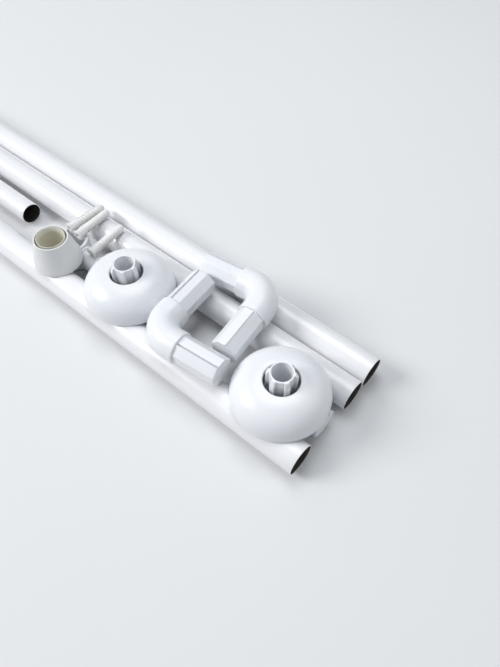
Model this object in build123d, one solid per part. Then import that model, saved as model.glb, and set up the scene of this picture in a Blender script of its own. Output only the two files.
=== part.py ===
from build123d import *
import math
import os

# ---------------------------------------------------------------------------
# Corner shower rod, knocked down: three rails and a ceiling strut lie side by
# side, with the elbows, wall flanges and small fittings resting on them.
# Millimetres, +Z up, +X along the rails, floor at Z = 0.
# ---------------------------------------------------------------------------

# rails and strut
RAIL_OD = 25.0
RAIL_WALL = 0.6
RAIL_LEN = 800.0
STRUT_OD = 20.0
STRUT_WALL = 0.6
STRUT_LEN = 450.0

# layout: rail axes across the set, measured from the near rail
Y_NEAR = 0.0
Y_MIDDLE = 66.0
Y_FAR = 92.0
Y_STRUT = 38.0
X_STRUT_END = -348.0          # open end of the strut, from the rails' front ends

# spigot section shared by the elbows and the straight joiner
SPIGOT_R = 11.7               # across the corners of the octagon, halved
SPIGOT_GROOVE_W = 1.7
SPIGOT_GROOVE_D = 2.8

# elbow
ELBOW_R = 13.0                # round body
ELBOW_BEND = 19.0             # bend radius of the centre line
ELBOW_SHOULDER = 27.0         # centre-line corner to shoulder
ELBOW_END = 64.0              # centre-line corner to spigot end

# wall flange: cover, wall plate and the ribbed peg that the rail slides over
COVER_R = 37.5
COVER_H = 23.0
COVER_LIP = 3.0
COVER_WALL = 2.0
COVER_HOLE_R = 13.5
COVER_COLLAR = 5.0            # depth of the collar round the hole
PLATE_R = 35.0
PLATE_T = 2.5
BOSS_H = 4.0                  # boss in the middle of the plate, inside the peg's foot
BOSS_GAP = 0.2
PEG_H = 32.5                  # plate back to the peg's rim
PEG_R = 8.9
PEG_BORE_R = 7.6
PEG_RIB_R = 11.6
PEG_RIB_W = 4.1
PEG_RIB_TOP = 10.0            # where the ribs' lead-in ends at the rim
PEG_RIB_LEAD = 4.5            # length of the ribs' tapered lead-in
PEG_RIBS = 6
SCREW_HOLE_R = 2.6

# ceiling fitting: flared cup, small plate and the plain socket that the strut plugs into
CUP_BASE_R = 20.75
CUP_MOUTH_R = 14.6
CUP_H = 26.0
CUP_MOUTH_BORE_R = 13.2
CUP_FOOT_BORE_R = 18.7
CEILING_PLATE_R = 16.0
SOCKET_R = 12.0
SOCKET_BORE_R = 10.3
SOCKET_H = 25.4
SOCKET_LEAD = (11.5, 3.0)      # radius at the rim and depth of the lead-in

# rail clip
CLIP_BORE_R = 12.8
CLIP_R = 15.6
CLIP_H = 25.0
CLIP_NECK_R = 9.2
CLIP_NECK_END = 36.0

# straight joiner
JOINER_LEN = 74.0
JOINER_COLLAR_R = 12.35
JOINER_COLLAR_W = 4.0

# fixings
SCREW_R = 2.4
SCREW_LEN = 45.0
SCREW_HEAD_R = 4.7
SCREW_HEAD_H = 3.2
PLUG_R = 4.0
PLUG_LEN = 38.0
PLUG_RIM_R = 4.9

# where the loose fittings lie (front ends of the rails at X = 0, near rail at Y = 0)
REST = 0.05                   # air left under everything that rests
CREST = RAIL_OD + REST
NEAR_FLANGE = (-39.0, 26.0)
FAR_FLANGE = (-195.0, 26.0)
CUP_AT = (-268.0, 10.4)
SOCKET_AT = (-268.945, 10.781)  # it lies over to one side of the cup
CLIP_AT = (-279.0, 32.2)
JOINER_AT = (-77.0, 33.0)     # its back end
ELBOW_LEFT_POS = (-142.43, 1.93, 37.53 + 2 * REST)
ELBOW_LEFT_QUAT = (0.998864, -0.013234, -0.005934, 0.045398)
ELBOW_RIGHT_POS = (-95.63, 86.39, 38.71 + 2 * REST)
ELBOW_RIGHT_QUAT = (-0.042479, -0.035649, -0.018557, 0.998289)

# the origin is under the middle of the whole set
Y_LOW = Y_NEAR - RAIL_OD / 2
Y_HIGH = Y_FAR + RAIL_OD / 2
ORIGIN = (-RAIL_LEN / 2, (Y_LOW + Y_HIGH) / 2)


def out(name, shape):
    shape = Pos(-ORIGIN[0], -ORIGIN[1], 0) * shape
    export_step(shape, f"parts/{name}.step")


def quat_location(pos, quat):
    w, x, y, z = quat
    n = math.sqrt(w * w + x * x + y * y + z * z)
    w, x, y, z = w / n, x / n, y / n, z / n
    if w < 0:
        w, x, y, z = -w, -x, -y, -z
    angle = 2 * math.acos(min(1.0, w))
    s = math.sqrt(max(1e-12, 1 - w * w))
    axis = (x / s, y / s, z / s)
    m = Plane(origin=pos, x_dir=rotate((1, 0, 0), axis, angle), z_dir=rotate((0, 0, 1), axis, angle))
    return m.location


def rotate(v, k, a):
    c, s = math.cos(a), math.sin(a)
    dot = sum(p * q for p, q in zip(k, v))
    cr = (k[1] * v[2] - k[2] * v[1], k[2] * v[0] - k[0] * v[2], k[0] * v[1] - k[1] * v[0])
    return tuple(v[i] * c + cr[i] * s + k[i] * dot * (1 - c) for i in range(3))


def along_x(radius, x0, x1):
    """Cylinder along X from x0 to x1."""
    return Pos(x0, 0, 0) * Rot(0, 90, 0) * Cylinder(radius, x1 - x0, align=(Align.CENTER, Align.CENTER, Align.MIN))


def tube(od, wall, length):
    """Thin tube along X, from X = -length to 0, its ends lightly broken."""
    body = along_x(od / 2, -length, 0) - along_x(od / 2 - wall, -length - 1, 1)
    outer = [e for e in body.edges().filter_by(GeomType.CIRCLE) if abs(e.radius - od / 2) < 1e-4]
    return chamfer(outer, 0.15)


def spigot(length, groove_sides):
    """Octagonal spigot along +X from 0, flats up and down, chamfered tip.
    A draw groove runs along the corner above and below on each named side."""
    octa = extrude(Plane.YZ * RegularPolygon(SPIGOT_R, 8, rotation=22.5), length)
    tip = octa.faces().sort_by(Axis.X)[-1].edges()
    octa = chamfer(tip, 0.4)
    half = SPIGOT_R * math.sin(math.radians(22.5))
    flat = SPIGOT_R * math.cos(math.radians(22.5))
    for s in groove_sides:
        for up in (1, -1):
            cut = Box(length + 4, SPIGOT_GROOVE_W, 2 * SPIGOT_GROOVE_D)
            octa -= Pos(length / 2 + 2.5, s * (half - SPIGOT_GROOVE_W / 2), up * flat) * cut
    # the seam of the two mould halves shows as a shallow line across the end
    seam = Pos(length, 0, 0) * Box(0.8, 2.1 * SPIGOT_R, 0.7)
    return octa - seam


def elbow():
    """90 degree elbow in the XY plane: arms along +X and +Y from the centre-line corner."""
    ring = Plane.XZ * Pos(-ELBOW_BEND, 0) * Circle(ELBOW_R)
    bend = revolve(ring, Axis.Z, 90)                    # about the origin, from -X
    bend = Pos(ELBOW_BEND, ELBOW_BEND, 0) * bend
    arm = along_x(ELBOW_R, ELBOW_BEND, ELBOW_SHOULDER)
    rim = arm.edges().filter_by(GeomType.CIRCLE).sort_by(Axis.X)[-1]
    arm = chamfer(rim, 0.7)
    other = Rot(0, 0, 90) * Rot(180, 0, 0) * arm
    body = bend + arm + other
    peg = Pos(ELBOW_SHOULDER - 0.5, 0, 0) * spigot(ELBOW_END - ELBOW_SHOULDER + 0.5, (-1,))
    peg2 = Rot(0, 0, 90) * Pos(ELBOW_SHOULDER - 0.5, 0, 0) * spigot(ELBOW_END - ELBOW_SHOULDER + 0.5, (1,))
    return body + peg + peg2


def flange_cover():
    """Domed cover, base on Z = 0, round hole on top with a short collar inside."""
    r0 = COVER_HOLE_R + 1.5
    a, b = COVER_R - r0, COVER_H - COVER_LIP
    with BuildPart() as p:
        with BuildSketch(Plane.XZ) as s:
            with BuildLine() as l:
                Line((COVER_R - 0.5, 0), (COVER_R, 0.5))
                Line((COVER_R, 0.5), (COVER_R, COVER_LIP))
                EllipticalCenterArc((r0, COVER_LIP), a, b, start_angle=0, arc_size=90)
                Line((r0, COVER_H), (r0 - 0.5, COVER_H))
                ThreePointArc((r0 - 0.5, COVER_H),
                              (COVER_HOLE_R + 1 - math.sqrt(0.5), COVER_H - 1 + math.sqrt(0.5)),
                              (COVER_HOLE_R, COVER_H - 1.0))
                Line((COVER_HOLE_R, COVER_H - 1.0), (COVER_HOLE_R, COVER_H - COVER_COLLAR))
                Line((COVER_HOLE_R, COVER_H - COVER_COLLAR), (r0, COVER_H - COVER_COLLAR))
                Line((r0, COVER_H - COVER_COLLAR), (r0, COVER_H - COVER_WALL))
                EllipticalCenterArc((r0, COVER_LIP), a - COVER_WALL, b - COVER_WALL, start_angle=0, arc_size=90)
                Line((COVER_R - COVER_WALL, COVER_LIP), (COVER_R - COVER_WALL, 0))
                Line((COVER_R - COVER_WALL, 0), (COVER_R - 0.5, 0))
            make_face()
        revolve(axis=Axis.Z)
    return p.part


def base_plate(radius, bore_r, boss_h):
    """Round plate on Z = 0 with a boss in the middle, one screw hole and a shallow recess underneath.
    The flat plate of the ceiling fitting has no boss."""
    up = (Align.CENTER, Align.CENTER, Align.MIN)
    disc = Cylinder(radius, PLATE_T, align=up)
    plate = chamfer(disc.edges().filter_by(GeomType.CIRCLE).sort_by(Axis.Z)[-1], 0.6)
    if boss_h > PLATE_T:
        boss = Cylinder(bore_r - BOSS_GAP, boss_h, align=up)
        plate += chamfer(boss.edges().filter_by(GeomType.CIRCLE).sort_by(Axis.Z)[-1], 0.4)
    recess = Cylinder(radius - 3.5, 0.8, align=up) - Cylinder(bore_r + 1.0, 0.8, align=up)
    plate -= Pos(0, 0, -0.01) * recess
    return plate - Pos(0, 0, -1) * Cylinder(SCREW_HOLE_R, boss_h + 2, align=up)


def ribbed_peg():
    """Hollow peg standing on the plate, with long crush ribs that taper in towards its rim."""
    up = (Align.CENTER, Align.CENTER, Align.MIN)
    foot = PLATE_T + REST
    peg = Pos(0, 0, foot) * Cylinder(PEG_R, PEG_H - foot, align=up)
    peg = chamfer(peg.edges().filter_by(GeomType.CIRCLE).sort_by(Axis.Z)[-1], 0.3)
    for i in range(PEG_RIBS):
        with BuildPart() as rib:
            with BuildSketch(Plane.XZ) as s:
                with BuildLine() as l:
                    Polyline((PEG_R - 0.6, foot), (PEG_RIB_R, foot), (PEG_RIB_R, PEG_H - PEG_RIB_LEAD),
                             (PEG_RIB_TOP, PEG_H - 0.3), (PEG_R - 0.6, PEG_H - 0.3), close=True)
                make_face()
            extrude(amount=PEG_RIB_W / 2, both=True)
        peg += Rot(0, 0, 60 * i + 30) * rib.part
    return peg - Cylinder(PEG_BORE_R, PEG_H + 2, align=up)


def socket():
    """Plain sleeve standing on the ceiling plate; the strut's end plugs into it."""
    up = (Align.CENTER, Align.CENTER, Align.MIN)
    foot = PLATE_T + REST
    sleeve = Pos(0, 0, foot) * Cylinder(SOCKET_R, SOCKET_H - foot, align=up)
    sleeve = chamfer(sleeve.edges().filter_by(GeomType.CIRCLE).sort_by(Axis.Z)[-1], 0.2)
    rim_r, depth = SOCKET_LEAD
    lead = Pos(0, 0, SOCKET_H - depth) * Cone(SOCKET_BORE_R, rim_r, depth, align=up)
    return sleeve - Cylinder(SOCKET_BORE_R, SOCKET_H + 2, align=up) - lead


def ceiling_cup():
    """Flared shell, open at both ends."""
    with BuildPart() as p:
        with BuildSketch(Plane.XZ) as s:
            with BuildLine() as l:
                Polyline((CUP_BASE_R - 0.4, 0), (CUP_BASE_R, 0.4), (CUP_BASE_R, 2.2))
                Spline((CUP_BASE_R, 2.2), (18.1, 12.0), (CUP_MOUTH_R, CUP_H - 0.4),
                       tangents=((-0.12, 1.0), (-0.22, 1.0)))
                Polyline((CUP_MOUTH_R, CUP_H - 0.4), (CUP_MOUTH_R - 0.4, CUP_H), (CUP_MOUTH_BORE_R, CUP_H),
                         (CUP_MOUTH_BORE_R, CUP_H - 4.0))
                Spline((CUP_MOUTH_BORE_R, CUP_H - 4.0), (16.3, 12.0), (CUP_FOOT_BORE_R, 2.2),
                       tangents=((0.1, -1.0), (0.12, -1.0)))
                Polyline((CUP_FOOT_BORE_R, 2.2), (CUP_FOOT_BORE_R, 0), (CUP_BASE_R - 0.4, 0))
            make_face()
        revolve(axis=Axis.Z)
    return p.part


def rail_clip():
    """Ring that slides on a rail, with a neck that plugs into the strut; it lies flat, ring axis up."""
    up = (Align.CENTER, Align.CENTER, Align.MIN)
    ring = Cylinder(CLIP_R, CLIP_H, align=up)
    ring = fillet(ring.edges().filter_by(GeomType.CIRCLE), 0.8)
    neck = Pos(0, 0, CLIP_H / 2) * along_x(CLIP_NECK_R, CLIP_R - 4, CLIP_NECK_END)
    neck = chamfer(neck.edges().filter_by(GeomType.CIRCLE).sort_by(Axis.X)[-1], 0.8)
    collar = Pos(0, 0, CLIP_H / 2) * along_x(10.6, CLIP_R - 4, CLIP_R + 2.2)
    neck -= Pos(0, 0, CLIP_H / 2) * along_x(7.4, CLIP_R + 3.5, CLIP_NECK_END + 1)
    body = ring + collar + neck
    return body - Pos(0, 0, -1) * Cylinder(CLIP_BORE_R, CLIP_H + 2, align=up)


def straight_joiner():
    """Faceted plug from X = 0 to its length, with a collar in the middle, solid but for its grooves."""
    half = JOINER_LEN / 2
    peg = Pos(half, 0, 0) * spigot(half, (-1, 1))
    collar = along_x(JOINER_COLLAR_R, half - JOINER_COLLAR_W / 2, half + JOINER_COLLAR_W / 2)
    collar = chamfer(collar.edges().filter_by(GeomType.CIRCLE), 0.4)
    return peg + Pos(JOINER_LEN, 0, 0) * Rot(0, 0, 180) * peg + collar


def screw():
    """Pan-head screw along -X: head from 0, point at -(length)."""
    with BuildPart() as p:
        with BuildSketch(Plane.XY) as s:
            with BuildLine() as l:
                Polyline((0, 0), (0, SCREW_HEAD_R * 0.55), (-0.9, SCREW_HEAD_R * 0.86), (-2.0, SCREW_HEAD_R),
                         (-SCREW_HEAD_H, SCREW_HEAD_R), (-SCREW_HEAD_H, SCREW_R),
                         (-SCREW_LEN + 5.5, SCREW_R), (-SCREW_LEN, 0.35), (-SCREW_LEN, 0), close=True)
            make_face()
        revolve(axis=Axis.X)
    part = p.part
    for a in (0, 90):
        part -= Rot(a, 0, 0) * Box(3.2, 5.0, 1.05)
    return part


def plug():
    """Wall plug along -X: rim from 0, slit nose."""
    with BuildPart() as p:
        with BuildSketch(Plane.XY) as s:
            with BuildLine() as l:
                Polyline((0, 2.0), (0, PLUG_RIM_R), (-1.2, PLUG_RIM_R), (-1.6, PLUG_R), (-PLUG_LEN + 6, PLUG_R),
                         (-PLUG_LEN, PLUG_R - 1.3), (-PLUG_LEN, 0.9), (-PLUG_LEN + 14, 1.4), close=True)
            make_face()
        revolve(axis=Axis.X)
    part = p.part
    return part - Pos(-PLUG_LEN / 2 - 3, 0, 0) * Box(PLUG_LEN - 13, 1.1, 3 * PLUG_R)


os.makedirs("parts", exist_ok=True)

# rails and strut
rail = tube(RAIL_OD, RAIL_WALL, RAIL_LEN)
for node, y in (("rail_near", Y_NEAR), ("rail_middle", Y_MIDDLE), ("rail_far", Y_FAR)):
    out(node, Pos(0, y, RAIL_OD / 2) * rail)
out("ceiling_strut", Pos(X_STRUT_END, Y_STRUT, STRUT_OD / 2) * tube(STRUT_OD, STRUT_WALL, STRUT_LEN))

# elbows
bent = elbow()
out("corner_elbow_left", quat_location(ELBOW_LEFT_POS, ELBOW_LEFT_QUAT) * bent)
out("corner_elbow_right", quat_location(ELBOW_RIGHT_POS, ELBOW_RIGHT_QUAT) * bent)

# wall flanges
cover, plate, peg = flange_cover(), base_plate(PLATE_R, PEG_BORE_R, BOSS_H), ribbed_peg()
for side, at, turn in (("near", NEAR_FLANGE, -2), ("far", FAR_FLANGE, -22)):
    out(f"{side}_flange_cover", Pos(*at, CREST) * cover)
    out(f"{side}_wall_plate", Pos(*at, CREST) * plate)
    out(f"{side}_wall_peg", Pos(*at, CREST) * Rot(0, 0, turn) * peg)

# ceiling fittings
out("ceiling_cup", Pos(*CUP_AT, CREST) * ceiling_cup())
out("ceiling_plate", Pos(*SOCKET_AT, CREST) * base_plate(CEILING_PLATE_R, SOCKET_BORE_R, PLATE_T))
out("ceiling_socket", Pos(*SOCKET_AT, CREST) * socket())
out("rail_clip", Pos(*CLIP_AT, 0) * rail_clip())

# straight joiner, on its collar and one tip in the valley
out("straight_joiner", Pos(*JOINER_AT, JOINER_COLLAR_R + REST) * straight_joiner())

# fixings: screws on the floor under the far flange, plugs across the clip and the middle rail
lean = math.degrees(math.asin((SCREW_HEAD_R - SCREW_R) / (SCREW_LEN - 5.5 - 2.6)))
screws = []
for x, y, yaw in ((-167.0, 22.5, 3.0), (-170.0, 34.5, -2.5), (-164.0, 46.5, 1.0)):
    lying = Pos(x, y, SCREW_HEAD_R + 0.25) * Rot(0, 0, yaw) * Rot(0, -lean, 0)
    screws.append(lying * Rot(31 * x, 0, 0) * screw())
out("fixing_screws", Compound(children=screws))

plugs = []
for x, y, yaw, roll in ((-286.0, 38.2, -3.0, 20), (-273.6, 36.8, 2.5, 75)):
    plugs.append(Pos(x, y, RAIL_OD + PLUG_R + 2 * REST) * Rot(0, 0, yaw - 90) * Rot(roll, 0, 0) * plug())
rise = math.degrees(math.asin((RAIL_OD + PLUG_R - CLIP_H / 2 - CLIP_NECK_R - PLUG_RIM_R) / 34.0))
plugs.append(Pos(-250.5, 31.6, CLIP_H / 2 + CLIP_NECK_R + PLUG_RIM_R + 0.2) * Rot(rise, 0, 0) * Rot(0, 0, -90)
             * Rot(50, 0, 0) * plug())
out("wall_plugs", Compound(children=plugs))
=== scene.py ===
import bpy
import math
import numpy as np
from mathutils import Matrix, Quaternion, Vector


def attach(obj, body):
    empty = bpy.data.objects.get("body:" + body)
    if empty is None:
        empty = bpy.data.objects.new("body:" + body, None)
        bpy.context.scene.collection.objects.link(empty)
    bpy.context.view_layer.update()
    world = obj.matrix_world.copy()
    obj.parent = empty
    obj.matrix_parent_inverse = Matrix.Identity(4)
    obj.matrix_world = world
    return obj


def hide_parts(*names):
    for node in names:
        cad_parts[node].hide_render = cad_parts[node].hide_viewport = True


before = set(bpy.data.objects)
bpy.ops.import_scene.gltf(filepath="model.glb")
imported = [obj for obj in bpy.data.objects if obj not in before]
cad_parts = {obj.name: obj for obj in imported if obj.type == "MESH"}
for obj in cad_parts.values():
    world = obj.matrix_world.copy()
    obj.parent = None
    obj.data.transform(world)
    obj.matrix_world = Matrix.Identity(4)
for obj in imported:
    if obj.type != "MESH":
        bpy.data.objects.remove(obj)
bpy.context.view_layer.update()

# Drawn in millimetres with the rails' front ends at X = 0 and the near rail's axis at Y = 0,
# then moved into the row frame in metres.
ROW = Matrix.Translation((0.4, -0.046, 0.0)) @ Matrix.Scale(0.001, 4)
REST = 0.05
CREST = 25.0 + REST
NEAR_FLANGE = (-39.0, 26.0, CREST)
FAR_FLANGE = (-195.0, 26.0, CREST)
CUP_AT = (-268.0, 10.4, CREST)
SOCKET_AT = (-268.945, 10.781, CREST)
CLIP_AT = (-279.0, 32.2, 0.0)
JOINER_AT = (-77.0, 33.0, 12.35 + REST)


# ---------------------------------------------------------------- mesh helpers
def fillet(points, radii, seg=5):
    """Closed outline with its corners rounded; a radius of 0 keeps the corner."""
    out = []
    n = len(points)
    for i in range(n):
        p = np.array(points[i], float)
        r = radii[i] if isinstance(radii, (list, tuple)) else radii
        if r <= 0:
            out.append(tuple(p))
            continue
        a = np.array(points[i - 1], float) - p
        b = np.array(points[(i + 1) % n], float) - p
        la, lb = np.linalg.norm(a), np.linalg.norm(b)
        a, b = a / la, b / lb
        ang = math.acos(max(-1.0, min(1.0, float(a @ b))))
        if ang > math.pi - 0.02:
            out.append(tuple(p))
            continue
        t = min(r / math.tan(ang / 2), 0.49 * la, 0.49 * lb)
        r = t * math.tan(ang / 2)
        bis = (a + b) / np.linalg.norm(a + b)
        c = p + bis * (r / math.sin(ang / 2))
        u = p + a * t - c
        v = p + b * t - c
        a0 = math.atan2(u[1], u[0])
        a1 = math.atan2(v[1], v[0])
        d = (a1 - a0 + math.pi) % (2 * math.pi) - math.pi
        for k in range(seg + 1):
            s = a0 + d * k / seg
            out.append((c[0] + r * math.cos(s), c[1] + r * math.sin(s)))
    return out


def grid_faces(nu, nv, close_u, base=0):
    """Quads of nu loops with nv points each, every loop closed."""
    faces = []
    for i in range(nu if close_u else nu - 1):
        a, b = base + i * nv, base + ((i + 1) % nu) * nv
        for j in range(nv):
            k = (j + 1) % nv
            faces.append((a + j, a + k, b + k, b + j))
    return faces


def build(name, verts, faces, material, matrix, node=None, angle=34, attrs=None):
    """Mesh object in the row frame, outward faces, smooth but for its sharp edges."""
    mesh = bpy.data.meshes.new(name)
    co = np.asarray(verts, float)
    m = np.array(ROW @ matrix, float)
    co = co @ m[:3, :3].T + m[:3, 3]
    mesh.from_pydata([tuple(c) for c in co], [], faces)
    mesh.update()
    for key, values in (attrs or {}).items():
        layer = mesh.attributes.new(key, "FLOAT", "POINT")
        layer.data.foreach_set("value", np.asarray(values, np.float32))
    obj = bpy.data.objects.new(name, mesh)
    bpy.context.scene.collection.objects.link(obj)
    tidy(obj, material, angle)
    if node:
        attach(obj, "root")
        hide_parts(node)
    return obj


def tidy(obj, material, angle):
    import bmesh
    mesh = obj.data
    bm = bmesh.new()
    bm.from_mesh(mesh)
    bmesh.ops.remove_doubles(bm, verts=bm.verts, dist=2e-8)
    bmesh.ops.triangulate(bm, faces=[f for f in bm.faces if len(f.verts) > 4])
    bmesh.ops.dissolve_degenerate(bm, dist=1e-7, edges=bm.edges)
    bmesh.ops.recalc_face_normals(bm, faces=bm.faces)
    bm.to_mesh(mesh)
    bm.free()
    mesh.polygons.foreach_set("use_smooth", [True] * len(mesh.polygons))
    mesh.set_sharp_from_angle(angle=math.radians(angle))
    mesh.materials.clear()
    mesh.materials.append(material)
    mesh.update()


def lathe(profile, seg, close=True):
    """Points and quads of a closed (radius, height) outline turned about Z."""
    th = np.linspace(0, 2 * math.pi, seg, endpoint=False)
    verts = []
    for r, z in profile:
        verts += [(r * c, r * s, z) for c, s in zip(np.cos(th), np.sin(th))]
    return verts, grid_faces(len(profile), seg, close)


def cut(obj, cutter, operation="DIFFERENCE"):
    """Exact boolean of two closed meshes; the cutter is removed."""
    mod = obj.modifiers.new("cut", "BOOLEAN")
    mod.operation = operation
    mod.solver = "EXACT"
    mod.object = cutter
    dg = bpy.context.evaluated_depsgraph_get()
    mesh = bpy.data.meshes.new_from_object(obj.evaluated_get(dg))
    obj.modifiers.clear()
    old = obj.data
    obj.data = mesh
    bpy.data.meshes.remove(old)
    bpy.data.objects.remove(cutter)


def hermite(p, q, tp, tq, n):
    p, q, tp, tq = (np.array(v, float) for v in (p, q, tp, tq))
    out = []
    for k in range(n + 1):
        t = k / n
        h = (2 * t ** 3 - 3 * t ** 2 + 1) * p + (t ** 3 - 2 * t ** 2 + t) * tp
        h = h + (-2 * t ** 3 + 3 * t ** 2) * q + (t ** 3 - t ** 2) * tq
        out.append(tuple(h))
    return out


# ---------------------------------------------------------------- materials
class Nodes:
    """Small helper around one material's node tree."""

    def __init__(self, name):
        self.mat = bpy.data.materials.new(name)
        self.mat.use_nodes = True
        self.tree = self.mat.node_tree
        self.tree.nodes.clear()
        self.out = self.tree.nodes.new("ShaderNodeOutputMaterial")

    def add(self, kind, **props):
        n = self.tree.nodes.new(kind)
        for k, v in props.items():
            setattr(n, k, v)
        return n

    def link(self, a, b):
        self.tree.links.new(a, b)

    def coords(self, scale):
        tc = self.add("ShaderNodeTexCoord")
        mp = self.add("ShaderNodeMapping")
        mp.inputs["Scale"].default_value = scale
        self.link(tc.outputs["Object"], mp.inputs["Vector"])
        return mp.outputs["Vector"]

    def noise(self, scale, detail=3.0, rough=0.5, stretch=(1, 1, 1), distortion=0.0):
        n = self.add("ShaderNodeTexNoise")
        n.inputs["Scale"].default_value = scale
        n.inputs["Detail"].default_value = detail
        n.inputs["Roughness"].default_value = rough
        n.inputs["Distortion"].default_value = distortion
        self.link(self.coords(stretch), n.inputs["Vector"])
        return n.outputs["Fac"]

    def ramp(self, fac, stops):
        n = self.add("ShaderNodeValToRGB")
        e = n.color_ramp.elements
        while len(e) < len(stops):
            e.new(0.5)
        for el, (pos, col) in zip(e, stops):
            el.position = pos
            el.color = (*col, 1.0) if len(col) == 3 else col
        self.link(fac, n.inputs["Fac"])
        return n.outputs["Color"]

    def span(self, value, a, b, c, d):
        n = self.add("ShaderNodeMapRange")
        for key, v in zip(("From Min", "From Max", "To Min", "To Max"), (a, b, c, d)):
            n.inputs[key].default_value = v
        self.link(value, n.inputs["Value"])
        return n.outputs["Result"]

    def bump(self, height, strength, distance, below=None):
        n = self.add("ShaderNodeBump")
        n.inputs["Strength"].default_value = strength
        n.inputs["Distance"].default_value = distance
        self.link(height, n.inputs["Height"])
        if below is not None:
            self.link(below, n.inputs["Normal"])
        return n.outputs["Normal"]

    def blend(self, fac, a, b, kind="MIX"):
        n = self.add("ShaderNodeMix", data_type="RGBA", blend_type=kind)
        self.link(fac, n.inputs["Factor"])
        for sock, v in ((n.inputs[6], a), (n.inputs[7], b)):
            if isinstance(v, tuple):
                sock.default_value = (*v, 1.0)
            else:
                self.link(v, sock)
        return n.outputs[2]

    def shader(self, **values):
        n = self.add("ShaderNodeBsdfPrincipled")
        for k, v in values.items():
            n.inputs[k.replace("_", " ")].default_value = v
        return n


def paint_material():
    """White powder coat outside; inside the bore bare rolled steel, coloured very dark so it also paints the bore's
    shade.
    """
    m = Nodes("rail_paint")
    peel = m.noise(900, 2.0, 0.45)
    flow = m.noise(7, 3.0, 0.55, (0.35, 1, 1))
    scuff = m.noise(60, 4.0, 0.6, (0.05, 1.6, 1.6), 0.3)
    colour = m.ramp(flow, [(0.3, (0.835, 0.838, 0.855)), (0.7, (0.875, 0.876, 0.888))])
    mark = m.span(scuff, 0.70, 0.80, 0.0, 0.35)
    colour = m.blend(mark, colour, (0.66, 0.665, 0.68))
    paint = m.shader(Specular_IOR_Level=0.5, Coat_Weight=0.25, Coat_Roughness=0.12)
    m.link(colour, paint.inputs["Base Color"])
    m.link(m.span(flow, 0.3, 0.7, 0.24, 0.34), paint.inputs["Roughness"])
    m.link(m.bump(peel, 0.10, 0.00012, m.bump(scuff, 0.05, 0.0002)), paint.inputs["Normal"])

    streak = m.noise(420, 4.0, 0.6, (0.03, 1, 1))
    stain = m.noise(45, 4.0, 0.6)
    steel = m.shader(Metallic=0.75, Specular_IOR_Level=0.4)
    # Painted shade: the bare steel is given a very dark colour so the bore reads as shaded inside; the brownish
    # blotches mixed in are stains.
    bore_steel_and_shade = m.ramp(streak, [(0.3, (0.105, 0.098, 0.080)), (0.7, (0.205, 0.195, 0.165))])
    bore_steel_and_shade = m.blend(m.span(stain, 0.45, 0.75, 0.0, 0.6), bore_steel_and_shade, (0.10, 0.078, 0.048))
    m.link(bore_steel_and_shade, steel.inputs["Base Color"])
    m.link(m.span(stain, 0.3, 0.7, 0.42, 0.62), steel.inputs["Roughness"])
    m.link(m.bump(streak, 0.25, 0.0002), steel.inputs["Normal"])

    # The bore mask switches from the painted rim to the dark steel, whose colour carries the painted shade inside the
    # tube.
    bore = m.add("ShaderNodeAttribute", attribute_name="bore")
    edge = m.noise(260, 3.0, 0.6)
    reach = m.add("ShaderNodeMath", operation="ADD")
    m.link(bore.outputs["Fac"], reach.inputs[0])
    m.link(m.span(edge, 0.3, 0.7, -0.08, 0.08), reach.inputs[1])
    mix = m.add("ShaderNodeMixShader")
    m.link(m.span(reach.outputs[0], 0.42, 0.58, 0.0, 1.0), mix.inputs[0])
    m.link(paint.outputs[0], mix.inputs[1])
    m.link(steel.outputs[0], mix.inputs[2])
    m.link(mix.outputs[0], m.out.inputs["Surface"])
    return m.mat


def plastic_material(name, low, high, rough, grain=1400, marks=0.3, glow=0.12):
    """Injection moulding: faint flow clouds, fine grain, a few rub marks."""
    m = Nodes(name)
    cloud = m.noise(22, 4.0, 0.55, distortion=0.6)
    fine = m.noise(grain, 2.0, 0.5)
    rub = m.noise(130, 5.0, 0.65, (1, 0.25, 1), 0.8)
    colour = m.ramp(cloud, [(0.3, low), (0.7, high)])
    tone = tuple(0.80 * c for c in low)
    colour = m.blend(m.span(rub, 0.68, 0.82, 0.0, marks), colour, tone)
    skin = m.shader(Specular_IOR_Level=0.5, Subsurface_Weight=glow, Subsurface_Scale=0.004)
    skin.inputs["Subsurface Radius"].default_value = (1.0, 0.9, 0.8)
    m.link(colour, skin.inputs["Base Color"])
    m.link(m.span(cloud, 0.3, 0.7, rough - 0.05, rough + 0.06), skin.inputs["Roughness"])
    m.link(m.bump(fine, 0.08, 0.0001, m.bump(rub, 0.06, 0.0002)), skin.inputs["Normal"])
    m.link(skin.outputs[0], m.out.inputs["Surface"])
    return m.mat


def zinc_material():
    m = Nodes("screw_steel")
    cloud = m.noise(160, 4.0, 0.6)
    fine = m.noise(2500, 2.0, 0.5)
    skin = m.shader(Metallic=1.0)
    m.link(m.ramp(cloud, [(0.3, (0.58, 0.58, 0.60)), (0.7, (0.76, 0.76, 0.75))]), skin.inputs["Base Color"])
    m.link(m.span(cloud, 0.3, 0.7, 0.22, 0.40), skin.inputs["Roughness"])
    m.link(m.bump(fine, 0.12, 0.0001), skin.inputs["Normal"])
    m.link(skin.outputs[0], m.out.inputs["Surface"])
    return m.mat


def floor_material():
    m = Nodes("pale_floor")
    wide = m.noise(1.6, 3.0, 0.5)
    fine = m.noise(240, 3.0, 0.55)
    skin = m.shader(Specular_IOR_Level=0.25)
    m.link(m.ramp(wide, [(0.35, (0.755, 0.757, 0.762)), (0.65, (0.775, 0.777, 0.780))]), skin.inputs["Base Color"])
    m.link(m.span(fine, 0.3, 0.7, 0.55, 0.70), skin.inputs["Roughness"])
    m.link(m.bump(fine, 0.05, 0.0002), skin.inputs["Normal"])
    m.link(skin.outputs[0], m.out.inputs["Surface"])
    return m.mat


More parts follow.
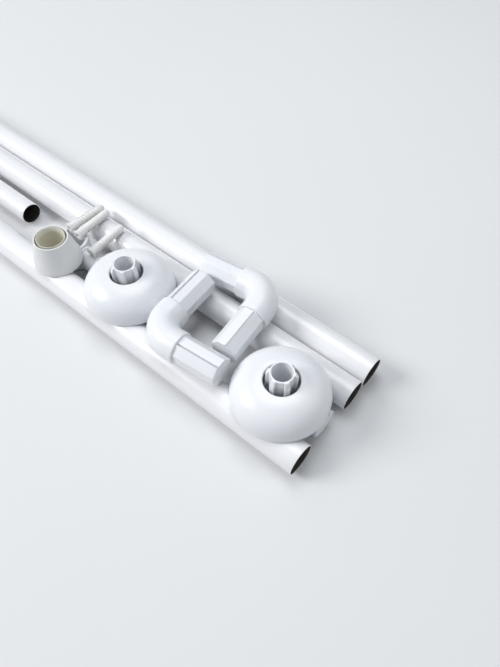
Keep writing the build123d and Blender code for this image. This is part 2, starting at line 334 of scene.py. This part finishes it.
PAINT = paint_material()
PLASTIC = plastic_material("fitting_plastic", (0.815, 0.830, 0.862), (0.862, 0.872, 0.895), 0.30)
CUP = plastic_material("cup_plastic", (0.755, 0.758, 0.755), (0.805, 0.806, 0.800), 0.36)
IVORY = plastic_material("socket_plastic", (0.700, 0.675, 0.575), (0.760, 0.735, 0.640), 0.40)
MATT = plastic_material("plug_plastic", (0.815, 0.805, 0.785), (0.865, 0.858, 0.840), 0.50, 900, 0.3, 0.3)
ZINC = zinc_material()


# ---------------------------------------------------------------- rails and strut
def tube(name, node, radius, wall, length, x_end, y, seam_deg):
    """Thin tube along X with rounded rims and a weld bead inside the bore."""
    seg, rings = 144, 72
    inner = radius - wall
    xs = np.linspace(-length + 0.25, -0.25, rings)
    prof = [(x, radius, 0.0) for x in xs]
    for k in range(1, 6):                                   # front rim
        a = math.pi * k / 6
        prof.append((-0.25 + 0.25 * math.sin(a), (radius + inner) / 2 + wall / 2 * math.cos(a), 0.3 * k / 6))
    prof += [(-0.25, inner, 0.45), (-0.7, inner, 0.8), (-2.5, inner, 0.9)]
    inner_x = np.linspace(-4, -length + 4, rings - 6)
    prof += [(x, inner, 1.0) for x in inner_x]
    prof += [(-length + 2.5, inner, 0.9), (-length + 0.7, inner, 0.8), (-length + 0.25, inner, 0.45)]
    for k in range(1, 6):                                   # back rim
        a = math.pi * k / 6
        prof.append((-length + 0.25 - 0.25 * math.sin(a), (radius + inner) / 2 - wall / 2 * math.cos(a), 0.3 - 0.3 * k / 6))
    th = np.linspace(0, 2 * math.pi, seg, endpoint=False)
    d = (np.degrees(th) - seam_deg + 180) % 360 - 180
    bead = np.exp(-(d / 3.2) ** 2)
    verts, bore = [], []
    for x, r, b in prof:
        if r == radius:                                     # the drawn tube is never quite true
            rr = r - 0.010 * (1 + np.sin(0.021 * x + 2 * th + y)) - 0.006 * (1 + np.sin(0.067 * x + y))
        elif b >= 0.9:
            rr = r - 0.28 * bead
        else:
            rr = np.full(seg, r)
        verts += [(x, q * c, q * s) for q, c, s in zip(rr, np.cos(th), np.sin(th))]
        bore += [b] * seg
    faces = grid_faces(len(prof), seg, True)
    place = Matrix.Translation((x_end, y, radius))
    return build(name, verts, faces, PAINT, place, node, attrs={"bore": bore})


tube("near_rail_tube", "rail_near", 12.5, 0.6, 800, 0.0, 0.0, 205)
tube("middle_rail_tube", "rail_middle", 12.5, 0.6, 800, 0.0, 66.0, 160)
tube("far_rail_tube", "rail_far", 12.5, 0.6, 800, 0.0, 92.0, 228)
tube("strut_tube", "ceiling_strut", 10.0, 0.6, 450, -348.0, 38.0, 190)


# ---------------------------------------------------------------- elbows and straight joiner
SPIGOT_R, GROOVE_W, GROOVE_D = 11.7, 1.7, 2.8
FLAT = SPIGOT_R * math.cos(math.pi / 8)
HALF = SPIGOT_R * math.sin(math.pi / 8)


def spigot_outline(sides):
    """Matching outlines (plain octagon, octagon with draw grooves) as (side, up) points.
    Grooves lie at the corner of the top and bottom facet on each named side."""
    plain, grooved, corners = [], [], []
    ends = [(FLAT, -HALF), (FLAT, HALF), (HALF, FLAT), (-HALF, FLAT), (-FLAT, HALF), (-FLAT, -HALF), (-HALF, -FLAT), (HALF, -FLAT)]
    soft = fillet(ends, 0.7, 4)                             # five points per corner
    per = 5
    for i in range(8):
        corner = soft[i * per:(i + 1) * per]
        x, z = ends[i]
        grooves = abs(abs(x) - HALF) < 1e-6 and (1 if x > 0 else -1) in sides
        if grooves:
            s, u = (1 if x > 0 else -1), (1 if z > 0 else -1)
            g = [(s * (HALF + 0.10), u * (FLAT - 0.10)), (s * (HALF + 0.02), u * (FLAT - 0.03)), (s * (HALF - 0.02), u * (FLAT - 0.16)),
                 (s * (HALF - 0.05), u * (FLAT - GROOVE_D + 0.25)), (s * (HALF - 0.28), u * (FLAT - GROOVE_D)),
                 (s * (HALF - GROOVE_W + 0.28), u * (FLAT - GROOVE_D)), (s * (HALF - GROOVE_W + 0.05), u * (FLAT - GROOVE_D + 0.25)),
                 (s * (HALF - GROOVE_W), u * (FLAT - 0.30)), (s * (HALF - GROOVE_W - 0.09), u * (FLAT - 0.09)), (s * (HALF - GROOVE_W - 0.30), u * FLAT)]
            t = np.linspace(0, 1, len(g))
            p = [(s * (HALF + 0.10 - v * (GROOVE_W + 0.40)), u * (FLAT - max(0.0, 0.10 * (1 - v / 0.07)))) for v in t]
            if s * u < 0:                                   # keep the loop's own direction
                g, p = g[::-1], p[::-1]
            corners.append((p, g))
        else:
            corners.append((corner, corner))
    for i, (p, g) in enumerate(corners):                    # three points along each facet, up to the next corner's first
        plain += p
        grooved += g
        a, b = np.array(p[-1]), np.array(corners[(i + 1) % 8][0][0])
        for k in (1, 2, 3):
            q = tuple(a + (b - a) * k / 4)
            plain.append(q)
            grooved.append(q)
    return np.array(plain), np.array(grooved)


def shrink(outline, by):
    return outline * ((FLAT - by) / FLAT)


def round_like(outline, radius):
    """Circle whose points lie at the same bearings as the outline's."""
    a = np.arctan2(outline[:, 1], outline[:, 0])
    return np.stack([radius * np.cos(a), radius * np.sin(a)], 1)


def tip_stations(plain, grooved, shoulder, end):
    """(distance, outline) from the spigot's tip back to its shoulder."""
    out = [(end, shrink(grooved, 0.75)), (end, shrink(grooved, 0.50)), (end - 0.06, shrink(grooved, 0.32)),
           (end - 0.18, shrink(grooved, 0.17)), (end - 0.36, shrink(grooved, 0.05)), (end - 0.55, grooved)]
    n = 9
    out += [(end - 0.55 + (shoulder + 0.5 - end + 0.55) * k / n, grooved) for k in range(1, n + 1)]
    return out + [(shoulder + 0.35, plain), (shoulder, plain)]


def elbow(name, node, matrix):
    plain, grooved = spigot_outline((1,))
    rad, bend, sh, end = 13.0, 19.0, 27.0, 64.0
    arm = tip_stations(plain, grooved, sh, end)
    for k in range(6):                                      # rounded shoulder
        a = math.pi / 2 * k / 5
        arm.append((sh - 0.9 * (1 - math.cos(a)), round_like(plain, rad - 0.9 * (1 - math.sin(a)))))
    circle = round_like(plain, rad)
    arm += [(sh - 3.0, circle), (sh - 5.5, circle), (bend, circle)]
    loops = []
    for x, o in arm:                                        # arm along +X, outer side towards -Y
        loops.append([(x, -s, u) for s, u in o])
    steps = 28
    for k in range(1, steps):
        a = math.pi / 2 * k / steps
        c, s = math.sin(a), math.cos(a)
        loops.append([(bend - (bend + p) * c, bend - (bend + p) * s, u) for p, u in circle])
    for y, o in reversed(arm):
        loops.append([(-s, y, u) for s, u in o])
    n = len(plain)
    verts = [v for loop in loops for v in loop]
    faces = grid_faces(len(loops), n, False)
    faces.append(tuple(range(n)))
    last = (len(loops) - 1) * n
    faces.append(tuple(range(last + n - 1, last - 1, -1)))
    obj = build(name, verts, faces, PLASTIC, matrix)
    for turn in (0, 90):                                    # seam of the mould halves across each end
        box = [(sx, sy, sz) for sx in (end - 0.45, end + 2) for sy in (-14, 14) for sz in (-0.32, 0.32)]
        quads = [(0, 1, 3, 2), (4, 6, 7, 5), (0, 4, 5, 1), (2, 3, 7, 6), (0, 2, 6, 4), (1, 5, 7, 3)]
        cut(obj, build(name + "_seam", box, quads, PLASTIC, matrix @ Matrix.Rotation(math.radians(turn), 4, "Z")))
    tidy(obj, PLASTIC, 32)
    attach(obj, "root")
    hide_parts(node)
    return obj


def pose(pos, quat):
    return Matrix.Translation(pos) @ Quaternion(quat).normalized().to_matrix().to_4x4()


elbow("left_elbow", "corner_elbow_left", pose((-142.43, 1.93, 37.63), (0.998864, -0.013234, -0.005934, 0.045398)))
elbow("right_elbow", "corner_elbow_right", pose((-95.63, 86.39, 38.81), (-0.042479, -0.035649, -0.018557, 0.998289)))


def joiner():
    plain, grooved = spigot_outline((-1, 1))
    length, collar_r, collar_w = 74.0, 12.35, 4.0
    half = length / 2
    side = [(d - half, o) for d, o in tip_stations(plain, grooved, half + collar_w / 2, length)]
    ring = []
    for k in range(6):
        a = math.pi / 2 * k / 5
        ring.append((collar_w / 2 - 0.5 * (1 - math.cos(a)), round_like(plain, collar_r - 0.5 * (1 - math.sin(a)))))
    run = side + ring
    loops = [[(half + x, p, u) for p, u in o] for x, o in run]
    loops += [[(half - x, p, u) for p, u in o] for x, o in reversed(run)]
    n = len(plain)
    faces = grid_faces(len(loops), n, False)
    faces.append(tuple(range(n)))
    last = (len(loops) - 1) * n
    faces.append(tuple(range(last + n - 1, last - 1, -1)))
    build("joiner_plug", [v for l in loops for v in l], faces, PLASTIC, Matrix.Translation(JOINER_AT), "straight_joiner", 32)


joiner()


# ---------------------------------------------------------------- wall flanges
def flange_cover(name, node, at):
    hole, r0, lip, high, wall, rim = 13.5, 15.0, 3.0, 23.0, 2.0, 37.5
    prof = fillet([(rim - wall, 0), (rim, 0), (rim, lip)], [0.3, 0.5, 0], 4)[:-1]
    for k in range(57):
        a = math.pi / 2 * k / 56
        prof.append((r0 + (rim - r0) * math.cos(a), lip + (high - lip) * math.sin(a)))
    for k in range(1, 9):
        a = math.pi / 2 * k / 8
        prof.append((hole + 1.0 - 1.0 * math.sin(a), high - 1.0 + 1.0 * math.cos(a)))
    prof += fillet([(hole, high - 1.5), (hole, high - 5.0), (r0, high - 5.0), (r0, high - wall)], [0, 0.3, 0.3, 0], 3)[:-1]
    for k in range(33):
        a = math.pi / 2 * (1 - k / 32)
        prof.append((r0 + (rim - wall - r0) * math.cos(a), lip + (high - wall - lip) * math.sin(a)))
    verts, faces = lathe(prof, 240)
    return build(name, verts, faces, PLASTIC, Matrix.Translation(at), node)


def base_plate(name, node, at, radius, bore, boss, material):
    prof = [(2.6, 0.0), (bore + 1.0, 0.0), (bore + 1.0, 0.79), (radius - 3.5, 0.79), (radius - 3.5, 0.0), (radius, 0.0), (radius, 2.5)]
    soft = [0.2, 0.2, 0.2, 0.2, 0.2, 0.3, 0.6]
    if boss:
        prof += [(bore - 0.2, 2.5), (bore - 0.2, 4.0), (2.6, 4.0)]
        soft += [0.3, 0.4, 0.3]
    else:
        prof += [(2.6, 2.5)]
        soft += [0.3]
    prof = fillet(prof, soft, 4)
    verts, faces = lathe(prof, 144)
    return build(name, verts, faces, material, Matrix.Translation(at), node)


def ribbed_peg(name, node, at, turn):
    """Hollow peg with six crush ribs; the ribs' crowns taper in towards the rim."""
    foot, top, wall_r, bore, rib_r, rib_top, rib_w, lead = 2.55, 32.5, 8.9, 7.6, 11.6, 10.0, 4.1, 4.5
    half = math.asin(rib_w / 2 / rib_r)
    th = []
    for i in range(6):                                      # bearings follow the rib's edges
        c = math.radians(60 * i + 30)
        th += [c + half * t for t in (-1.5, -1.22, -1.12, -1.06, -1.0, -0.94, -0.88, -0.6, -0.3, 0, 0.3, 0.6, 0.88, 0.94, 1.0, 1.06, 1.12, 1.22, 1.5)]
        gap = math.radians(60) - 3.0 * half
        th += [c + 1.5 * half + gap * k / 10 for k in range(1, 10)]
    th = np.array(th)
    off = np.abs((th - math.radians(30) + math.radians(30)) % math.radians(60) - math.radians(30)) / half
    shape = 1 - np.clip((off - 0.88) / 0.30, 0, 1)
    shape = shape * shape * (3 - 2 * shape)
    loops = []
    for z, shrink_r, crown in ([(foot, 0.25, rib_r - 0.25), (foot + 0.08, 0.07, rib_r - 0.07), (foot + 0.25, 0, rib_r)]
                               + [(z, 0, rib_r) for z in np.linspace(foot + 2, top - lead - 0.6, 8)]
                               + [(top - lead - 0.15, 0, rib_r - 0.03), (top - lead + 0.4, 0, rib_r - 0.17)]
                               + [(z, 0, rib_r - (z - top + lead) * (rib_r - rib_top) / (lead - 0.4)) for z in np.linspace(top - lead + 1, top - 0.6, 7)]
                               + [(top - 0.36, 0, rib_top - 0.08), (top - 0.12, 0.10, rib_top - 0.3), (top, 0.34, rib_top - 0.6)]):
        r = (wall_r - shrink_r) + np.clip(crown - wall_r + shrink_r, 0, None) * shape
        loops.append([(q * math.cos(t), q * math.sin(t), z) for q, t in zip(r, th)])
    for z, r in ((top, bore + 0.3), (top - 0.1, bore + 0.1), (top - 0.3, bore), (top - 8, bore), (top - 16, bore), (foot + 8, bore), (foot + 0.3, bore), (foot, bore + 0.25)):
        loops.append([(r * math.cos(t), r * math.sin(t), z) for t in th])
    verts = [v for l in loops for v in l]
    faces = grid_faces(len(loops), len(th), True)
    place = Matrix.Translation(at) @ Matrix.Rotation(math.radians(turn), 4, "Z")
    return build(name, verts, faces, PLASTIC, place, node, 36)


flange_cover("near_cover", "near_flange_cover", NEAR_FLANGE)
flange_cover("far_cover", "far_flange_cover", FAR_FLANGE)
base_plate("near_plate", "near_wall_plate", NEAR_FLANGE, 35.0, 7.6, True, PLASTIC)
base_plate("far_plate", "far_wall_plate", FAR_FLANGE, 35.0, 7.6, True, PLASTIC)
ribbed_peg("near_peg", "near_wall_peg", NEAR_FLANGE, -2)
ribbed_peg("far_peg", "far_wall_peg", FAR_FLANGE, -22)


# ---------------------------------------------------------------- ceiling fittings
def ceiling_cup():
    out = hermite((20.75, 2.2), (18.1, 12.0), (-0.9, 9.0), (-2.9, 10.6), 20)[:-1]
    out += hermite((18.1, 12.0), (14.6, 25.4), (-3.7, 13.2), (-2.6, 13.4), 24)
    prof = fillet([(18.7, 0), (20.75, 0), (20.75, 2.2)], [0.3, 0.4, 0], 4)[:-1] + out
    prof += fillet([(14.6, 25.5), (14.55, 26.0), (13.2, 26.0), (13.2, 22.0)], [0, 0.4, 0.45, 0], 5)
    prof += hermite((13.2, 22.0), (16.3, 12.0), (0.6, -9.0), (3.2, -10.0), 16)[1:-1]
    prof += hermite((16.3, 12.0), (18.7, 2.2), (3.0, -9.4), (1.0, -9.2), 16)
    verts, faces = lathe(prof, 200)
    build("cup_shell", verts, faces, CUP, Matrix.Translation(CUP_AT), "ceiling_cup")
    base_plate("cup_plate", "ceiling_plate", SOCKET_AT, 16.0, 10.3, False, IVORY)
    prof = fillet([(10.3, 2.55), (12.0, 2.55), (12.0, 25.4), (11.5, 25.4), (10.3, 22.4)], [0.2, 0.2, 0.22, 0.2, 0.6], 4)
    verts, faces = lathe(prof, 160)
    build("cup_socket", verts, faces, IVORY, Matrix.Translation(SOCKET_AT), "ceiling_socket")


ceiling_cup()


def rail_clip():
    """Ring for a rail with a hollow neck for the strut."""
    place = Matrix.Translation(CLIP_AT)
    verts, faces = [], []
    prof = fillet([(0.0, 0.0), (15.6, 0.0), (15.6, 25.0), (0.0, 25.0)], [0, 0.8, 0.8, 0], 6)
    seg = 128
    th = np.linspace(0, 2 * math.pi, seg, endpoint=False)
    rings = prof[1:-1]
    verts = [(r * c, r * s, z) for r, z in rings for c, s in zip(np.cos(th), np.sin(th))]
    faces = grid_faces(len(rings), seg, False)
    faces.append(tuple(range(seg - 1, -1, -1)))
    last = (len(rings) - 1) * seg
    faces.append(tuple(range(last, last + seg)))
    obj = build("clip_ring", verts, faces, PLASTIC, place)
    neck = fillet([(0.0, 11.6), (10.6, 11.6), (10.6, 17.8), (9.2, 17.8), (9.2, 36.0), (7.4, 36.0), (7.4, 19.1), (0.0, 19.1)],
                  [0, 0, 0.5, 0.25, 0.6, 0.3, 0, 0], 4)
    rings = neck[1:-1]
    seg = 112
    th = np.linspace(0, 2 * math.pi, seg, endpoint=False)
    verts = [(x, r * c, r * s) for r, x in rings for c, s in zip(np.cos(th), np.sin(th))]
    faces = grid_faces(len(rings), seg, False)
    faces.append(tuple(range(seg)))
    last = (len(rings) - 1) * seg
    faces.append(tuple(range(last + seg - 1, last - 1, -1)))
    cut(obj, build("clip_neck", verts, faces, PLASTIC, Matrix.Translation((CLIP_AT[0], CLIP_AT[1], 12.5))), "UNION")
    rings = [(13.6, -1.0), (13.3, 0.0), (12.95, 0.25), (12.8, 0.7), (12.8, 24.3), (12.95, 24.75), (13.3, 25.0), (13.6, 26.0)]
    seg = 120
    th = np.linspace(0, 2 * math.pi, seg, endpoint=False) + 0.011
    verts = [(r * c, r * s, z) for r, z in rings for c, s in zip(np.cos(th), np.sin(th))]
    faces = grid_faces(len(rings), seg, False)
    faces.append(tuple(range(seg - 1, -1, -1)))
    last = (len(rings) - 1) * seg
    faces.append(tuple(range(last, last + seg)))
    cut(obj, build("clip_bore", verts, faces, PLASTIC, place))
    tidy(obj, PLASTIC, 34)
    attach(obj, "root")
    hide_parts("rail_clip")


rail_clip()


# ---------------------------------------------------------------- fixings
def screw_shape():
    """Pan-head screw along -X: cross recess, rolled thread and point."""
    seg = 72
    th = np.linspace(0, 2 * math.pi, seg, endpoint=False)
    c, s = np.cos(th), np.sin(th)
    head = hermite((0.12, 0.0), (2.2, -0.16), (2.1, 0.0), (2.0, -0.5), 24)
    head += hermite((2.2, -0.16), (4.7, -2.1), (2.4, -0.6), (0.25, -2.6), 14)[1:]
    head += [(4.7, -2.7), (4.62, -3.05), (4.4, -3.2), (3.2, -3.2), (2.55, -3.25), (2.3, -3.5), (2.25, -4.2)]
    loops = []
    for r, x in head:
        y, z = r * c, r * s
        if r < 3.4 and x > -1.2:
            arm = np.minimum(np.abs(y), np.abs(z))
            reach = np.maximum(np.abs(y), np.abs(z))
            w = np.clip((0.62 - arm) / 0.16, 0, 1) * np.clip((2.55 - reach) / 0.35, 0, 1)
            deep = 0.55 + 1.05 * np.clip(1.35 - reach, 0, 1)
            xx = x - w * np.minimum(deep, 1.5)
        else:
            xx = np.full(seg, x)
        loops.append(np.stack([xx, y, z], 1))
    pitch, end = 1.9, -45.0
    for x in np.arange(-4.6, end + 0.05, -0.16):
        u = (x / pitch - th / (2 * math.pi)) % 1.0
        ridge = np.clip(1 - np.abs(u - 0.5) / 0.24, 0, 1)
        taper = min(1.0, max(0.0, (x - end) / 5.5))
        run = min(1.0, (-4.6 - x) / 2.0)
        core = 0.22 + 1.55 * min(1.0, taper * 1.15)
        r = core + (2.38 - 1.77) * ridge * run * (0.35 + 0.65 * taper) + 0.45 * (1 - run)
        loops.append(np.stack([np.full(seg, x), r * c, r * s], 1))
    loops.append(np.stack([np.full(seg, end), 0.12 * c, 0.12 * s], 1))
    verts = np.concatenate(loops)
    faces = grid_faces(len(loops), seg, False)
    faces.append(tuple(range(seg)))
    last = (len(loops) - 1) * seg
    faces.append(tuple(range(last + seg - 1, last - 1, -1)))
    return verts, faces


def copies(name, node, material, shape, quads, places, angle):
    """One object made of the same shape at several places."""
    verts, faces = [], []
    for m in places:
        a = np.array(m, float)
        base = len(verts)
        verts += [tuple(v) for v in shape @ a[:3, :3].T + a[:3, 3]]
        faces += [tuple(base + i for i in f) for f in quads]
    return build(name, verts, faces, material, Matrix.Identity(4), node, angle)


def turned(axis, degrees):
    return Matrix.Rotation(math.radians(degrees), 4, axis)


lean = math.degrees(math.asin((4.7 - 2.4) / (45 - 5.5 - 2.6)))
shape, quads = screw_shape()
copies("zinc_screws", "fixing_screws", ZINC, shape, quads,
       [Matrix.Translation((x, y, 4.95)) @ turned("Z", yaw) @ turned("Y", -lean) @ turned("X", 31 * x)
        for x, y, yaw in ((-167.0, 22.5, 3.0), (-170.0, 34.5, -2.5), (-164.0, 46.5, 1.0))], 40)


def plug_shape():
    """Wall plug along -X: rim, barbed body, tapered nose, slit through its middle."""
    prof = [(2.35, 0.0), (4.55, 0.0), (4.8, -0.1), (4.9, -0.35), (4.9, -0.95), (4.75, -1.2), (4.1, -1.5), (3.98, -1.9), (3.98, -7.6)]
    for k in range(8):
        x = -8.4 - 2.9 * k
        prof += [(3.95, x), (3.45, x - 2.25), (3.5, x - 2.4), (3.93, x - 2.62)]
    prof += [(3.9, -32.0), (3.3, -35.2), (2.75, -37.5), (2.5, -37.9), (2.2, -38.0), (1.0, -38.0), (0.92, -37.8), (1.4, -24.0), (2.05, -0.5)]
    seg = 72
    th = np.linspace(0, 2 * math.pi, seg, endpoint=False)
    verts = [(x, r * c, r * s) for r, x in prof for c, s in zip(np.cos(th), np.sin(th))]
    obj = build("plug_blank", verts, grid_faces(len(prof), seg, True), MATT, Matrix.Identity(4))
    box = [(x, y, z) for x in (-34.5, -9.5) for y in (-0.55, 0.55) for z in (-7, 7)]
    six = [(0, 1, 3, 2), (4, 6, 7, 5), (0, 4, 5, 1), (2, 3, 7, 6), (0, 2, 6, 4), (1, 5, 7, 3)]
    cut(obj, build("plug_slit", box, six, MATT, Matrix.Identity(4)))
    back = np.array(ROW.inverted(), float)
    pts = np.array([v.co for v in obj.data.vertices], float) @ back[:3, :3].T + back[:3, 3]
    quads = [tuple(p.vertices) for p in obj.data.polygons]
    bpy.data.objects.remove(obj)
    return pts, quads


shape, quads = plug_shape()
rise = math.degrees(math.asin((25.0 + 4.0 - 12.5 - 9.2 - 4.9) / 34.0))
copies("barbed_plugs", "wall_plugs", MATT, shape, quads,
       [Matrix.Translation((-286.0, 38.2, 29.10)) @ turned("Z", -93.0) @ turned("X", 20),
        Matrix.Translation((-273.6, 36.8, 29.10)) @ turned("Z", -87.5) @ turned("X", 75),
        Matrix.Translation((-250.5, 31.6, 26.80)) @ turned("X", rise) @ turned("Z", -90.0) @ turned("X", 50)], 34)


# ---------------------------------------------------------------- floor, light, camera
floor = bpy.data.meshes.new("floor")
floor.from_pydata([(-6, -6, -0.0004), (6, -6, -0.0004), (6, 6, -0.0004), (-6, 6, -0.0004)], [], [(0, 1, 2, 3)])
floor.materials.append(floor_material())
floor_obj = bpy.data.objects.new("floor", floor)
bpy.context.scene.collection.objects.link(floor_obj)


def area(name, at, target, size, power, colour):
    light = bpy.data.lights.new(name, "AREA")
    light.shape = "DISK"
    light.size = size
    light.energy = power
    light.color = colour
    obj = bpy.data.objects.new(name, light)
    obj.location = at
    obj.rotation_euler = (Vector(at) - Vector(target)).to_track_quat("Z", "Y").to_euler()
    bpy.context.scene.collection.objects.link(obj)
    return obj


area("key", (-2.25, -2.08, 2.36), (0.26, -0.02, 0.03), 1.9, 97.0, (1.0, 1.0, 1.0))
area("top", (0.0, 0.32, 1.70), (0.20, 0.0, 0.0), 1.2, 14.5, (0.95, 0.975, 1.0))
area("fill", (0.44, -1.7, 1.35), (0.26, -0.01, 0.02), 1.0, 1.0, (0.85, 0.92, 1.0))
area("side", (1.5, 0.75, 0.95), (0.26, -0.01, 0.02), 1.0, 2.4, (1.0, 0.99, 0.965))

world = bpy.data.worlds.new("studio")
world.use_nodes = True
back = world.node_tree.nodes["Background"]
back.inputs["Color"].default_value = (0.88, 0.93, 1.0, 1.0)
back.inputs["Strength"].default_value = 0.29
bpy.context.scene.world = world

scene = bpy.context.scene
scene.view_settings.view_transform = "Standard"
scene.view_settings.look = "None"
scene.view_settings.exposure = 0.0

cam = bpy.data.cameras.new("camera")
cam.sensor_width = 36.0
cam.lens = 560.0 / 667.0 * 36.0
cam.clip_start = 0.01
cam_obj = bpy.data.objects.new("camera", cam)
cam_obj.location = (0.4685, -0.1858, 0.385)
cam_obj.rotation_euler = Vector((-0.3627, 0.4422, -0.820)).to_track_quat("-Z", "Y").to_euler()
scene.collection.objects.link(cam_obj)
scene.camera = cam_obj
